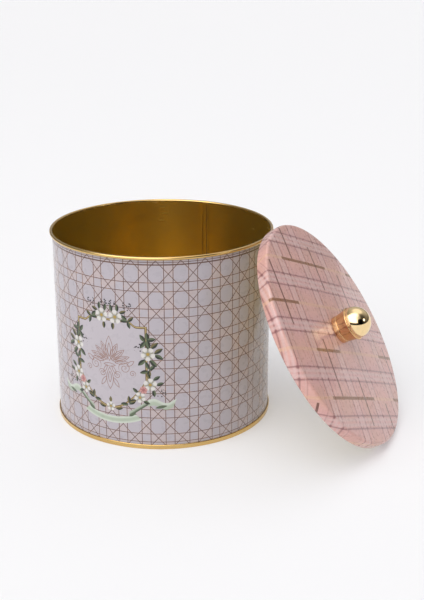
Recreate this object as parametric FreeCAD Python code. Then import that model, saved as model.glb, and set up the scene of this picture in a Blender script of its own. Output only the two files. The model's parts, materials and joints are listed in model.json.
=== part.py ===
"""Round cookie tin with its lid taken off and leaning against the rim.

Frame: millimetres, +Z up, origin on the ground plane at the centre of the tin's base.
The lid leans towards +X, so the X-Z plane is the plane of symmetry of the whole set.

Pieces
  body_wall     printed wall: rolled rim, side lock seam, hook of the bottom double seam
  bottom_plate  stepped base, seamed onto the wall
  lid_shell     pressed lid: slightly domed top, skirt, hem curled inwards
  knob_collar   turned base ring and cup of the knob
  knob_ball     ball of the knob, drilled for the screw
  knob_screw    pan-head M4 screw from inside the lid
  knob_washer   flat washer under the screw head
"""

import FreeCAD, Part
import math
import os

# ---------------------------------------------------------------- sheet metal
SHEET = 0.28                # tinplate thickness
LAYER_GAP = 0.04            # air left between layers of a folded seam
HOOK_SHORTFALL = 0.35       # hooks stop this far short of the fold they enter

# ---------------------------------------------------------------- tin body
TIN_HEIGHT = 140.0          # ground to the top of the rolled rim
WALL_OUTER_R = 79.0
RIM_CURL_R = 1.14           # outer radius of the rolled rim's round section
RIM_CURL_TURN = 300.0       # degrees that the rim is rolled

# bottom double seam and base
SEAM_HEIGHT = 3.3           # ground to the top of the double seam
SEAM_CORNER_R = 0.3         # mid-sheet radius of the seam's two lower corners
BASE_RING_WIDTH = 7.0       # flat of the ring round the centre panel
BASE_PANEL_Z = 3.4          # middle of the sheet, centre panel
BASE_STEP = 0.8             # rise from the centre panel to the ring round it
BASE_BEND_R = 1.2           # mid-sheet radius of the step's bends
BASE_STEP_ANGLE = 35.0

# side lock seam: four layers, flush outside and standing proud inside
LOCK_WIDTH = 4.2            # between the two folds
LOCK_ANGLE = 86.7           # degrees round the wall from +X
LOCK_FOOT_DROP = 1.2        # seam starts this far above the base plate
LOCK_HEAD_DROP = 4.0        # seam ends this far below the rim's top
LOCK_JOG_R = 0.2            # mid-sheet radius of the jog's outer bend

# ---------------------------------------------------------------- lid
LID_CLEARANCE = 1.0         # between the rolled rim and the lid's hem, all round
LID_HEM_R = 1.2             # outer radius of the hem's round section
LID_HEM_TURN = 300.0
LID_DEPTH = 8.5             # bottom of the hem to the shoulder of the lid
LID_SHOULDER_R = 1.86       # mid-sheet radius between the top and the skirt
LID_DOME_RISE = 2.0
LID_PAD_R = 12.0            # flat seat for the knob
LID_REST_ANGLE = 59.0       # where on the rolled rim the leaning hem rests, from level
LID_REST_GAP = 0.3          # drawn clearance at that resting point
LID_STEEP_LEAN = 15.0       # least lean from vertical, for a lid too small to reach the rim

# ---------------------------------------------------------------- knob
BALL_R = 11.4
BALL_FLAT_R = 3.65          # flat turned under the ball
BALL_FLAT_GAP = 0.05        # between that flat and the collar's floor
BALL_SEAT_GAP = 0.05        # between the ball and the cup
COLLAR_BASE_R = 10.1
COLLAR_BAND_H = 3.8
COLLAR_EDGE_R = 0.4
COLLAR_NECK_R = 9.5
COLLAR_NECK_H = 0.5
COLLAR_CUP_FOOT_R = 10.3
COLLAR_CUP_WALL = 0.7
COLLAR_LIP_DROP = 1.0       # top of the lip below the ball's centre
COLLAR_LIP_ROUND = 0.6
COLLAR_FLOOR = 2.15

# ---------------------------------------------------------------- screw and washer
SCREW_R = 1.95              # M4 shank, drawn plain
SCREW_LENGTH = 12.0
SCREW_HEAD_R = 4.0
SCREW_HEAD_H = 3.1
SCREW_CHAMFER = 0.4
CROSS_WIDTH = 1.0
CROSS_SPAN = 4.6
CROSS_DEPTH = 1.8
WASHER_R = 4.5
WASHER_T = 0.8
SCREW_CLEARANCE = 0.2       # round the shank in the lid, the collar and the washer
THREAD_CLEARANCE = 0.05     # round the shank in the ball
TAPPED_SPARE = 1.2          # depth of the ball's hole past the screw's tip

# ---------------------------------------------------------------- worked out
PITCH = SHEET + LAYER_GAP                       # from one seam layer to the next
WALL_R = WALL_OUTER_R - SHEET / 2               # middle of the wall's sheet
RIM_MID_R = RIM_CURL_R - SHEET / 2
RIM_CENTRE_R = WALL_R + RIM_MID_R
RIM_CENTRE_Z = TIN_HEIGHT - RIM_CURL_R
RIM_OUTER_R = RIM_CENTRE_R + RIM_CURL_R
LOCK_HEAD_Z = TIN_HEIGHT - LOCK_HEAD_DROP
LOCK_FOOT_Z = max(BASE_PANEL_Z + BASE_STEP, SEAM_HEIGHT) + LOCK_FOOT_DROP
LID_OUTER_R = RIM_OUTER_R + LID_CLEARANCE + 2 * LID_HEM_R
HEM_CENTRE_R = LID_OUTER_R - LID_HEM_R
SHOULDER_Z = LID_DEPTH - LID_HEM_R              # shoulder above the hem's centre plane
PAD_Z = SHOULDER_Z + LID_DOME_RISE              # pad's upper face above the hem's centre plane
BALL_FLAT_H = COLLAR_FLOOR + BALL_FLAT_GAP      # heights above the pad
BALL_CENTRE_H = BALL_FLAT_H + math.sqrt(BALL_R ** 2 - BALL_FLAT_R ** 2)
SCREW_HOLE_R = SCREW_R + SCREW_CLEARANCE
TAPPED_R = SCREW_R + THREAD_CLEARANCE

Z_AXIS = FreeCAD.Vector(0, 0, 1)
ORIGIN = FreeCAD.Vector(0, 0, 0)


def in_section(u, v):
    """A point of a radial section: u is the radius and v the height."""
    return FreeCAD.Vector(u, 0, v)


def in_plan(u, v):
    """A point of a horizontal section."""
    return FreeCAD.Vector(u, v, 0)


class Strip:
    """Sheet metal seen edge on: a middle line of runs and bends, thickened to both sides."""

    def __init__(self, u, v, heading):
        self.u = u
        self.v = v
        self.heading = math.radians(heading)
        self.pieces = []

    def run(self, length):
        """Go straight ahead."""
        start = (self.u, self.v, self.heading)
        self.u += length * math.cos(self.heading)
        self.v += length * math.sin(self.heading)
        self.pieces.append(("run", start, (self.u, self.v, self.heading)))
        return self

    def bend(self, radius, angle):
        """Follow an arc of the middle line; a positive angle turns left."""
        side = 1.0 if angle > 0 else -1.0
        turn = math.radians(angle)
        centre_u = self.u - side * radius * math.sin(self.heading)
        centre_v = self.v + side * radius * math.cos(self.heading)
        first = self.heading - side * math.pi / 2
        self.u = centre_u + radius * math.cos(first + turn)
        self.v = centre_v + radius * math.sin(first + turn)
        self.heading += turn
        self.pieces.append(("bend", (centre_u, centre_v, radius, side), (first, turn)))
        return self

    def edge_of(self, piece, offset, place):
        """One offset edge of a piece; a positive offset lies to the left."""
        if piece[0] == "run":
            ends = []
            for u, v, heading in piece[1:]:
                ends.append(place(u - offset * math.sin(heading), v + offset * math.cos(heading)))
            return Part.LineSegment(ends[0], ends[1]).toShape()
        centre_u, centre_v, radius, side = piece[1]
        first, turn = piece[2]
        reach = radius - side * offset
        points = []
        for share in (0.0, 0.5, 1.0):
            angle = first + share * turn
            points.append(place(centre_u + reach * math.cos(angle), centre_v + reach * math.sin(angle)))
        return Part.Arc(points[0], points[1], points[2]).toShape()

    def face(self, place):
        """The closed outline of the strip as a face."""
        half = SHEET / 2
        left = [self.edge_of(piece, half, place) for piece in self.pieces]
        right = [self.edge_of(piece, -half, place) for piece in self.pieces]
        start_cap = Part.LineSegment(left[0].firstVertex(True).Point, right[0].firstVertex(True).Point)
        end_cap = Part.LineSegment(left[-1].lastVertex(True).Point, right[-1].lastVertex(True).Point)
        edges = left + right + [start_cap.toShape(), end_cap.toShape()]
        return Part.Face(Part.Wire(Part.__sortEdges__(edges)))


def spun(face):
    """The solid that a radial section sweeps in a full turn."""
    return face.revolve(ORIGIN, Z_AXIS, 360)


def outline(points):
    """A radial section from corner points; a three-point entry is an arc's mid and end."""
    edges = []
    here = points[0]
    for step in points[1:] + [points[0]]:
        if len(step) == 4:
            end = step[2:]
            arc = Part.Arc(in_section(*here), in_section(*step[:2]), in_section(*end))
            edges.append(arc.toShape())
            here = end
        else:
            edges.append(Part.LineSegment(in_section(*here), in_section(*step)).toShape())
            here = step
    return Part.Face(Part.Wire(edges))


# ================================================================ tin body
def rolled_rim():
    """Upper wall and rim, rolled outwards over about a full turn."""
    strip = Strip(WALL_R, LOCK_HEAD_Z, 90)
    strip.run(RIM_CENTRE_Z - LOCK_HEAD_Z)
    strip.bend(RIM_MID_R, -RIM_CURL_TURN)
    return spun(strip.face(in_section))


def body_hook():
    """Lowest part of the wall, turned outwards and up inside the double seam."""
    fold_z = SHEET + LAYER_GAP + SHEET / 2 + PITCH
    hook_top = SEAM_HEIGHT - SHEET / 2 - PITCH - HOOK_SHORTFALL
    strip = Strip(WALL_R, LOCK_FOOT_Z, -90)
    strip.run(LOCK_FOOT_Z - fold_z)
    strip.bend(PITCH, 180)
    strip.run(hook_top - fold_z)
    return spun(strip.face(in_section))


def locked_wall():
    """The wall between its two ends, one sheet whose edges hook into each other."""
    fold_r = WALL_R - PITCH
    jog_r = WALL_R - LOCK_JOG_R
    reach = 2 * PITCH + LOCK_JOG_R
    jog = math.acos((jog_r ** 2 + fold_r ** 2 - reach ** 2) / (2 * jog_r * fold_r))
    across = jog_r * math.sin(jog)
    along = fold_r - jog_r * math.cos(jog)
    back_turn = math.degrees(math.atan2(across, along))
    band = math.degrees(LOCK_WIDTH / WALL_R)
    hook = band - math.degrees(HOOK_SHORTFALL / WALL_R)
    jog_angle = math.degrees(jog)
    first = LOCK_ANGLE - band / 2 + hook
    start_r = WALL_R - PITCH
    strip = Strip(
        start_r * math.cos(math.radians(first)),
        start_r * math.sin(math.radians(first)),
        first - 90,
    )
    strip.bend(start_r, -hook)
    strip.bend(PITCH, -180)
    strip.bend(WALL_R - 3 * PITCH, band)
    strip.bend(2 * PITCH, -back_turn)
    strip.bend(LOCK_JOG_R, back_turn + jog_angle)
    strip.bend(WALL_R, (360 - jog_angle) / 2)
    strip.bend(WALL_R, (360 - jog_angle) / 2)
    strip.bend(PITCH, 180)
    strip.bend(WALL_R - 2 * PITCH, -hook)
    section = strip.face(in_plan)
    section.translate(FreeCAD.Vector(0, 0, LOCK_FOOT_Z))
    return section.extrude(FreeCAD.Vector(0, 0, LOCK_HEAD_Z - LOCK_FOOT_Z))


def body_wall():
    """Wall, rim and hook as the one sheet that they are."""
    whole = locked_wall().fuse([rolled_rim(), body_hook()])
    return whole.removeSplitter().Solids[0]


def bottom_plate():
    """Base: centre panel, step, outer ring, chuck wall and the outer half of the double seam."""
    ring_z = BASE_PANEL_Z + BASE_STEP
    chuck_r = WALL_R - PITCH
    seaming_r = WALL_R + 3 * PITCH
    seam_top = SEAM_HEIGHT - SHEET / 2 - PITCH
    slope = math.radians(BASE_STEP_ANGLE)
    bend_rise = 2 * BASE_BEND_R * (1 - math.cos(slope))
    slope_run = (BASE_STEP - bend_rise) / math.sin(slope)
    step_span = 2 * BASE_BEND_R * math.sin(slope) + slope_run * math.cos(slope)
    strip = Strip(0, BASE_PANEL_Z, 0)
    strip.run(chuck_r - BASE_BEND_R - BASE_RING_WIDTH - step_span)
    strip.bend(BASE_BEND_R, BASE_STEP_ANGLE)
    strip.run(slope_run)
    strip.bend(BASE_BEND_R, -BASE_STEP_ANGLE)
    strip.run(BASE_RING_WIDTH)
    strip.bend(BASE_BEND_R, -90)
    strip.run(ring_z - BASE_BEND_R - SEAM_CORNER_R - SHEET / 2)
    strip.bend(SEAM_CORNER_R, 90)
    strip.run(seaming_r - chuck_r - 2 * SEAM_CORNER_R)
    strip.bend(SEAM_CORNER_R, 90)
    strip.run(seam_top - SHEET / 2 - SEAM_CORNER_R)
    strip.bend(PITCH, 180)
    hook_foot = SHEET + LAYER_GAP + SHEET / 2 + PITCH + HOOK_SHORTFALL
    strip.run(seam_top - hook_foot)
    return spun(strip.face(in_section))


# ================================================================ lid, in its own frame
# Height 0 is the plane through the middle of the hem, and +Z points out of the lid's top.
def lid_shell():
    """Lid pressed from one sheet, drilled for the knob's screw."""
    skirt_r = LID_OUTER_R - SHEET / 2
    dome_span = skirt_r - LID_SHOULDER_R - LID_PAD_R
    dome_fall = 2 * math.atan(LID_DOME_RISE / dome_span)
    dome_r = dome_span / math.sin(dome_fall)
    fall_angle = math.degrees(dome_fall)
    shoulder = math.radians(90 - fall_angle)
    shoulder_drop = LID_SHOULDER_R * math.sin(shoulder)
    strip = Strip(SCREW_HOLE_R, PAD_Z - SHEET / 2, 0)
    strip.run(LID_PAD_R - SCREW_HOLE_R)
    strip.bend(dome_r, -fall_angle)
    reach = LID_SHOULDER_R * (1 - math.cos(shoulder))
    strip.run((skirt_r - reach - strip.u) / math.cos(dome_fall))
    strip.bend(LID_SHOULDER_R, fall_angle - 90)
    strip.run(strip.v)
    strip.bend(LID_HEM_R - SHEET / 2, -LID_HEM_TURN)
    return spun(strip.face(in_section))


def knob_collar():
    """Base ring, neck and flared cup, hollowed to seat the ball."""
    seat_r = BALL_R + BALL_SEAT_GAP
    lip_top = BALL_CENTRE_H - COLLAR_LIP_DROP
    mouth_r = math.sqrt(seat_r ** 2 - COLLAR_LIP_DROP ** 2)
    lip_r = mouth_r + COLLAR_CUP_WALL
    floor_r = math.sqrt(seat_r ** 2 - (BALL_CENTRE_H - COLLAR_FLOOR) ** 2)
    seat_mid_angle = (math.atan2(mouth_r, COLLAR_LIP_DROP)
                      + math.atan2(floor_r, BALL_CENTRE_H - COLLAR_FLOOR)) / 2
    seat_mid = (seat_r * math.sin(seat_mid_angle), BALL_CENTRE_H - seat_r * math.cos(seat_mid_angle))
    corner = COLLAR_EDGE_R * (1 - math.sqrt(0.5))
    base = COLLAR_BASE_R
    neck_top = COLLAR_BAND_H + COLLAR_NECK_H
    lip_inner = lip_r - COLLAR_LIP_ROUND
    lip_foot = lip_top - 2 * COLLAR_LIP_ROUND
    cup_mid_h = (neck_top + lip_foot) / 2
    cup_mid_r = math.sqrt(seat_r ** 2 - (BALL_CENTRE_H - cup_mid_h) ** 2) + COLLAR_CUP_WALL
    section = outline([
        (SCREW_HOLE_R, 0),
        (base - COLLAR_EDGE_R, 0),
        (base - corner, corner, base, COLLAR_EDGE_R),
        (base, COLLAR_BAND_H - COLLAR_EDGE_R),
        (base - corner, COLLAR_BAND_H - corner, base - COLLAR_EDGE_R, COLLAR_BAND_H),
        (COLLAR_NECK_R, COLLAR_BAND_H),
        (COLLAR_NECK_R, neck_top),
        (COLLAR_CUP_FOOT_R, neck_top),
        (cup_mid_r, cup_mid_h, lip_inner, lip_foot),
        (lip_r, lip_top - COLLAR_LIP_ROUND, lip_inner, lip_top),
        (mouth_r, lip_top),
        (seat_mid[0], seat_mid[1], floor_r, COLLAR_FLOOR),
        (SCREW_HOLE_R, COLLAR_FLOOR),
    ])
    return spun(section).translated(FreeCAD.Vector(0, 0, PAD_Z))


def screw_seat_z():
    """Underside of the screw's head when it clamps washer, lid and collar."""
    return PAD_Z - SHEET - WASHER_T


def knob_ball():
    """Ball with a flat underneath and a blind hole for the screw."""
    hole_top = screw_seat_z() + SCREW_LENGTH + TAPPED_SPARE - PAD_Z
    side_angle = (math.pi - math.atan2(BALL_FLAT_R, BALL_CENTRE_H - BALL_FLAT_H)) / 2
    side = (BALL_R * math.sin(side_angle), BALL_CENTRE_H + BALL_R * math.cos(side_angle))
    section = outline([
        (TAPPED_R, BALL_FLAT_H),
        (BALL_FLAT_R, BALL_FLAT_H),
        (side[0], side[1], 0, BALL_CENTRE_H + BALL_R),
        (0, hole_top),
        (TAPPED_R, hole_top),
    ])
    return spun(section).translated(FreeCAD.Vector(0, 0, PAD_Z))


def knob_screw():
    """Pan-head screw with a cross recess, head downwards."""
    seat = screw_seat_z()
    tip = seat + SCREW_LENGTH
    head = seat - SCREW_HEAD_H
    crown_r = 0.55 * SCREW_HEAD_R
    crown_mid = (0.88 * SCREW_HEAD_R, head + 0.22 * SCREW_HEAD_H)
    section = outline([
        (0, head),
        (crown_r, head),
        (crown_mid[0], crown_mid[1], SCREW_HEAD_R, seat - 0.4 * SCREW_HEAD_H),
        (SCREW_HEAD_R, seat),
        (SCREW_R, seat),
        (SCREW_R, tip - SCREW_CHAMFER),
        (SCREW_R - SCREW_CHAMFER, tip),
        (0, tip),
    ])
    bar = Part.makeBox(CROSS_SPAN, CROSS_WIDTH, CROSS_DEPTH)
    bar.translate(FreeCAD.Vector(-CROSS_SPAN / 2, -CROSS_WIDTH / 2, head))
    other_bar = bar.copy()
    other_bar.rotate(ORIGIN, Z_AXIS, 90)
    return spun(section).cut([bar, other_bar]).Solids[0]


def knob_washer():
    """Flat washer that spreads the screw's load over the thin lid."""
    seat = screw_seat_z()
    section = outline([
        (SCREW_HOLE_R, seat),
        (WASHER_R, seat),
        (WASHER_R, seat + WASHER_T),
        (SCREW_HOLE_R, seat + WASHER_T),
    ])
    return spun(section)


# ================================================================ where the lid leans
def lid_lean():
    """Lean of the lid's plane from vertical, and the place of the hem's centre.

    The hem stands on the ground and rests against the rolled rim. A lid too small
    to reach over the rim stands steeply, against the side of the rim or the wall.
    """
    touch = RIM_CURL_R + LID_HEM_R + LID_REST_GAP
    reach_z = RIM_CENTRE_Z + touch * math.sin(math.radians(LID_REST_ANGLE))
    steep_z = LID_HEM_R + 2 * HEM_CENTRE_R * math.cos(math.radians(LID_STEEP_LEAN))
    top_z = min(reach_z, steep_z)
    lean = math.acos((top_z - LID_HEM_R) / (2 * HEM_CENTRE_R))
    above_rim = top_z - RIM_CENTRE_Z
    top_x = WALL_OUTER_R + LID_HEM_R + LID_REST_GAP
    if abs(above_rim) < touch:
        top_x = max(top_x, RIM_CENTRE_R + math.sqrt(touch ** 2 - above_rim ** 2))
    centre_x = top_x + HEM_CENTRE_R * math.sin(lean)
    centre_z = LID_HEM_R + HEM_CENTRE_R * math.cos(lean)
    return math.degrees(lean), centre_x, centre_z


def leant(shape):
    """Carry a piece from the lid's own frame to where the lid leans."""
    lean, centre_x, centre_z = lid_lean()
    shape.rotate(ORIGIN, FreeCAD.Vector(0, 1, 0), 90 - lean)
    shape.translate(FreeCAD.Vector(centre_x, 0, centre_z))
    return shape


def main():
    pieces = {
        "body_wall": body_wall(),
        "bottom_plate": bottom_plate(),
        "lid_shell": leant(lid_shell()),
        "knob_collar": leant(knob_collar()),
        "knob_ball": leant(knob_ball()),
        "knob_screw": leant(knob_screw()),
        "knob_washer": leant(knob_washer()),
    }
    os.makedirs("parts", exist_ok=True)
    for node, shape in pieces.items():
        box = shape.BoundBox
        print(node, shape.ShapeType, len(shape.Solids), "solid, valid", shape.isValid(),
              "volume", round(shape.Volume, 1),
              "x", round(box.XMin, 2), round(box.XMax, 2),
              "y", round(box.YMin, 2), round(box.YMax, 2),
              "z", round(box.ZMin, 2), round(box.ZMax, 2))
        shape.exportStep(os.path.join("parts", node + ".step"))
    lean, centre_x, centre_z = lid_lean()
    print("lid leans", round(lean, 3), "degrees; hem centre", round(centre_x, 3), round(centre_z, 3))


main()
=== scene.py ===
# %% [markdown]
# # An open cookie tin with its lid leaning on the rim
# The tin is thin printed steel. The wall is one sheet with a rolled rim and a folded
# side seam, the base is seamed on, and the lid is pressed from a third sheet.
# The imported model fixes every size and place. This script models the sheets again with
# smooth round surfaces, prints them with patterns, and lights them like a small studio.

import json
import math

import bmesh
import bpy
from mathutils import Matrix, Vector


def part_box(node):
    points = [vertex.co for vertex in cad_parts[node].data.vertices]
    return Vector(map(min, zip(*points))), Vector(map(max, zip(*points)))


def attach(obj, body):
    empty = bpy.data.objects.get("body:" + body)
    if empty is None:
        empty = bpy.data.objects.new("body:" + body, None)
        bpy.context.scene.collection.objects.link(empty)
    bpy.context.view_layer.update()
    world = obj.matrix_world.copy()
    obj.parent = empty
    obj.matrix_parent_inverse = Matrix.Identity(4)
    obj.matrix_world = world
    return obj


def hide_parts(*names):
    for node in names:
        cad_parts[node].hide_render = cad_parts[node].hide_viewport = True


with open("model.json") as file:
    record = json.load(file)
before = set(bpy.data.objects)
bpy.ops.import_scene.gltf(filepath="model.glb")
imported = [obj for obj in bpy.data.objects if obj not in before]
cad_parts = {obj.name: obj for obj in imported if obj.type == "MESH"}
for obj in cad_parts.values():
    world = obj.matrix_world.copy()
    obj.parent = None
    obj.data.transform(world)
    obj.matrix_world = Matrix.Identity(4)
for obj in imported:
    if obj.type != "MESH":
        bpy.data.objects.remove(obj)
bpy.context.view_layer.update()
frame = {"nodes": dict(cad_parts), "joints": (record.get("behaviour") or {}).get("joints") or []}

# %% [markdown]
# ## Sizes
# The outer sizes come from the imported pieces, so that the new meshes land on them. The
# sizes of folds and bends repeat the design, because a box can't tell them.

# %% Sizes in metres
MM = 0.001
SHEET = 0.28 * MM
PITCH = 0.32 * MM                       # from one layer of a folded seam to the next
LAYER_GAP = 0.04 * MM                   # between two layers of a folded seam
HOOK_CLEARANCE = 0.35 * MM              # above the hook, inside the bottom seam
tin_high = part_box("body_wall")[1]
lid_low, lid_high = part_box("lid_shell")
TIN_HEIGHT = tin_high.z
RIM_BEND = 1.0 * MM                     # middle line of the rolled rim
WALL_R = tin_high.x - 2 * RIM_BEND - SHEET / 2
RIM_Z = TIN_HEIGHT - RIM_BEND - SHEET / 2
SEAM_TOP = 3.3 * MM
LID_R = lid_high.y
HEM_BEND = 1.06 * MM                    # middle line of the lid's curled hem
HEM_R = HEM_BEND + SHEET / 2
LID_DEPTH = 8.5 * MM
SHOULDER_BEND = 1.86 * MM
DOME_RISE = 2.0 * MM
PAD_R = 12.0 * MM
PAD_Z = LID_DEPTH - HEM_R + DOME_RISE   # top of the knob's seat above the hem's middle
HOLE_R = 2.15 * MM
ROUND = 256                             # segments in a full turn
print("wall radius", round(WALL_R / MM, 2), "mm, lid radius", round(LID_R / MM, 2), "mm")

# %% [markdown]
# ## Where the lid leans
# The lid slides off along its own axis, so the joint gives the direction of the knob.
# Its hem touches the ground at the bottom and the rim at the top. That fixes a frame
# for the lid, in which it lies flat with the hem's middle at height zero.

# %% The lid's own frame
knob_axis = Vector(frame["joints"][0]["axis"]).normalized()
lean = math.atan2(knob_axis.z, knob_axis.x)
hem_centre = Vector((
    lid_low.x + HEM_R + math.sin(lean) * (LID_R - HEM_R),
    0.0,
    HEM_R + math.cos(lean) * (LID_R - HEM_R),
))
down_slope = Vector((math.sin(lean), 0.0, -math.cos(lean)))
lid_frame = Matrix.Translation(hem_centre) @ Matrix((
    down_slope, Vector((0, 1, 0)), knob_axis)).transposed().to_4x4()
print("lid leans", round(math.degrees(lean), 2), "degrees")


# %% [markdown]
# ## Picking and selecting
# An operator works on all that is selected, so everything is deselected first. Faces,
# edges and points are then picked in code, by their place or by the way they face.

# %% Helpers for selecting
def start_clean():
    """Leave edit mode and deselect everything."""
    if bpy.context.object and bpy.context.object.mode != "OBJECT":
        bpy.ops.object.mode_set(mode="OBJECT")
    bpy.ops.object.select_all(action="DESELECT")


def only(piece):
    """Make a piece the selected and active one, in object mode."""
    start_clean()
    piece.select_set(True)
    bpy.context.view_layer.objects.active = piece


def select_where(piece, kind, rule):
    """In edit mode, select the faces, edges or vertices that a rule picks."""
    mesh = bmesh.from_edit_mesh(piece.data)
    for group in (mesh.verts, mesh.edges, mesh.faces):
        for item in group:
            item.select = False
    mesh.select_mode = {kind}
    for item in {"FACE": mesh.faces, "EDGE": mesh.edges, "VERT": mesh.verts}[kind]:
        if rule(item):
            item.select_set(True)
    mesh.select_flush_mode()
    bmesh.update_edit_mesh(piece.data)


# %% [markdown]
# ## Drawing a sheet's section
# Every sheet here is a surface of revolution. Its section is a line of straight runs and
# round bends, which is drawn by extruding one point again and again, and then spun. A
# Solidify modifier gives the spun line the thickness of tinplate on both sides. The pen
# keeps count of where it is, so that the next stroke only says how far or how round.

# %% A pen for sections
class Pen:
    """Draws a section in the X-Z plane by extruding its last point."""

    def __init__(self, name, radius, height, heading):
        start_clean()
        bpy.ops.mesh.primitive_plane_add(size=MM, location=(radius, 0, height))
        self.piece = bpy.context.object
        self.piece.name = self.piece.data.name = name
        bpy.ops.object.transform_apply(location=True, rotation=True, scale=True)
        bpy.ops.object.mode_set(mode="EDIT")
        bpy.ops.mesh.select_all(action="SELECT")
        bpy.ops.mesh.merge(type="CENTER")
        self.radius = radius
        self.height = height
        self.heading = math.radians(heading)

    def step(self, length):
        along = length * math.cos(self.heading)
        up = length * math.sin(self.heading)
        self.radius += along
        self.height += up
        bpy.ops.mesh.extrude_region_move(TRANSFORM_OT_translate={"value": (along, 0, up)})

    def run(self, length, steps=1):
        for _ in range(steps):
            self.step(length / steps)
        return self

    def run_to(self, height):
        """Go straight up or down to a height."""
        return self.run(abs(height - self.height))

    def bend(self, radius, angle, steps):
        """A positive angle turns left, seen with the radius to the right and height up."""
        half_turn = math.radians(angle) / steps / 2
        for _ in range(steps):
            self.heading += half_turn
            self.step(2 * radius * math.sin(abs(half_turn)))
            self.heading += half_turn
        return self

    def spin(self, segments=ROUND):
        """Spin the section round the Z axis and close it."""
        bpy.ops.mesh.select_all(action="SELECT")
        bpy.ops.mesh.spin(steps=segments, angle=math.tau, center=(0, 0, 0), axis=(0, 0, 1))
        bpy.ops.mesh.select_all(action="SELECT")
        bpy.ops.mesh.remove_doubles(threshold=2e-6)
        bpy.ops.mesh.normals_make_consistent(inside=False)
        bpy.ops.object.mode_set(mode="OBJECT")
        return self.piece


# %% Thickness and shading
def thicken(piece):
    """Give a spun line the sheet's thickness, half to each side."""
    only(piece)
    sheet = piece.modifiers.new("sheet", "SOLIDIFY")
    sheet.thickness = SHEET
    sheet.offset = 0.0
    sheet.use_even_offset = True
    bpy.ops.object.modifier_apply(modifier=sheet.name)


def smooth(piece, degrees=35):
    only(piece)
    bpy.ops.object.shade_smooth_by_angle(angle=math.radians(degrees))
    print(piece.name, len(piece.data.polygons), "faces")


def radial(point):
    """Unit vector from the tin's axis towards a point."""
    return Vector((point.x, point.y, 0)).normalized()


# %% [markdown]
# ## The wall
# The section starts in the hook of the bottom seam, turns up the wall, and rolls
# outwards into the rim. Extra points on the way up mark where the seam starts and ends
# and where the printed picture lies, so that those areas have their own faces.

# %% Spin the wall
FOLD_Z = SHEET + LAYER_GAP + SHEET / 2 + PITCH
HOOK_TOP = SEAM_TOP - SHEET / 2 - PITCH - HOOK_CLEARANCE
LOCK_FOOT = 5.4 * MM
LOCK_HEAD = RIM_Z - 0.3 * MM
PICTURE_Z = 62.0 * MM                   # height of the printed picture's middle
PICTURE_HALF_HEIGHT = 50.0 * MM
PICTURE_ANGLE = math.radians(-95.25)    # its direction round the tin

pen = Pen("body_wall_sheet", WALL_R + 2 * PITCH, HOOK_TOP, -90)
pen.run_to(FOLD_Z)
pen.bend(PITCH, -180, 8)
pen.run_to(LOCK_FOOT)
pen.run_to(PICTURE_Z - PICTURE_HALF_HEIGHT)
pen.run_to(PICTURE_Z + PICTURE_HALF_HEIGHT)
pen.run_to(LOCK_HEAD)
pen.run_to(RIM_Z)
pen.bend(RIM_BEND, -300, 20)
wall = pen.spin()
thicken(wall)
print("wall spun,", len(wall.data.polygons), "faces")

# %% [markdown]
# ## The side seam
# The two edges of the wall hook into each other. Inside, the fold stands proud as a
# narrow band up to the rim. Outside it leaves only a fine groove, and two more grooves
# inside show where the folded edges lie. Each is cut into the mesh with two bisecting
# planes, and the faces between the cuts are extruded. The band's corners are bevelled,
# and the rolled rim swells a little where it runs over the fold.

# %% Fold the side seam
LOCK_ANGLE = math.radians(86.7)
LOCK_WIDTH = 4.9 * MM
LOCK_PROUD = 3 * PITCH
LOCK_ROUND = 0.3 * MM
GROOVE_WIDTH = 0.5 * MM
GROOVE_DEPTH = 0.11 * MM
CREASE_AT = -1.5 * MM                   # where the fold's own edge shows in the band
RIM_DEPTH = 2.4 * MM
RIM_SWELL = 0.12 * MM
lock_out = Vector((math.cos(LOCK_ANGLE), math.sin(LOCK_ANGLE), 0))
lock_side = Vector((-lock_out.y, lock_out.x, 0))


def along_wall(point):
    """Distance of a point to the left of the side seam's middle plane."""
    return point.dot(lock_side)


def near_lock(face, facing):
    """Faces of the seam's stretch of wall that look out (1) or in (-1)."""
    middle = face.calc_center_median()
    return (
        middle.dot(lock_out) > 0
        and abs(along_wall(middle)) < 3 * LOCK_WIDTH
        and LOCK_FOOT < middle.z < LOCK_HEAD
        and face.normal.dot(radial(middle)) * facing > 0.9
    )


def raise_strip(piece, low, high, facing, height):
    """Cut the strip between two distances from the seam's middle and extrude it."""
    for edge in (low, high):
        select_where(piece, "FACE", lambda face: near_lock(face, facing))
        bpy.ops.mesh.bisect(plane_co=lock_side * edge, plane_no=lock_side)
    select_where(piece, "FACE", lambda face: near_lock(face, facing)
                 and low < along_wall(face.calc_center_median()) < high)
    bpy.ops.mesh.extrude_region_move(
        TRANSFORM_OT_translate={"value": lock_out * facing * height})


only(wall)
bpy.ops.object.mode_set(mode="EDIT")
raise_strip(wall, -LOCK_WIDTH / 2, LOCK_WIDTH / 2, -1, LOCK_PROUD)
band_face_r = WALL_R - SHEET / 2 - LOCK_PROUD
select_where(wall, "EDGE", lambda edge: all(
    abs(abs(along_wall(v.co)) - LOCK_WIDTH / 2) < 2e-5
    and v.co.dot(lock_out) > 0 and v.co.dot(lock_out) < band_face_r + 1e-4
    for v in edge.verts) and abs(edge.verts[0].co.z - edge.verts[1].co.z) > MM)
bpy.ops.mesh.bevel(offset=LOCK_ROUND, segments=3, affect="EDGES")
raise_strip(wall, LOCK_WIDTH / 2, LOCK_WIDTH / 2 + GROOVE_WIDTH, 1, -GROOVE_DEPTH)
raise_strip(wall, CREASE_AT, CREASE_AT + GROOVE_WIDTH, -1, -GROOVE_DEPTH)
raise_strip(wall, LOCK_WIDTH / 2, LOCK_WIDTH / 2 + GROOVE_WIDTH, -1, -GROOVE_DEPTH)
select_where(wall, "VERT", lambda v: v.co.z > TIN_HEIGHT - RIM_DEPTH
             and v.co.dot(lock_out) > 0 and abs(along_wall(v.co)) < 0.6 * LOCK_WIDTH)
bpy.ops.transform.shrink_fatten(value=RIM_SWELL)
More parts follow.
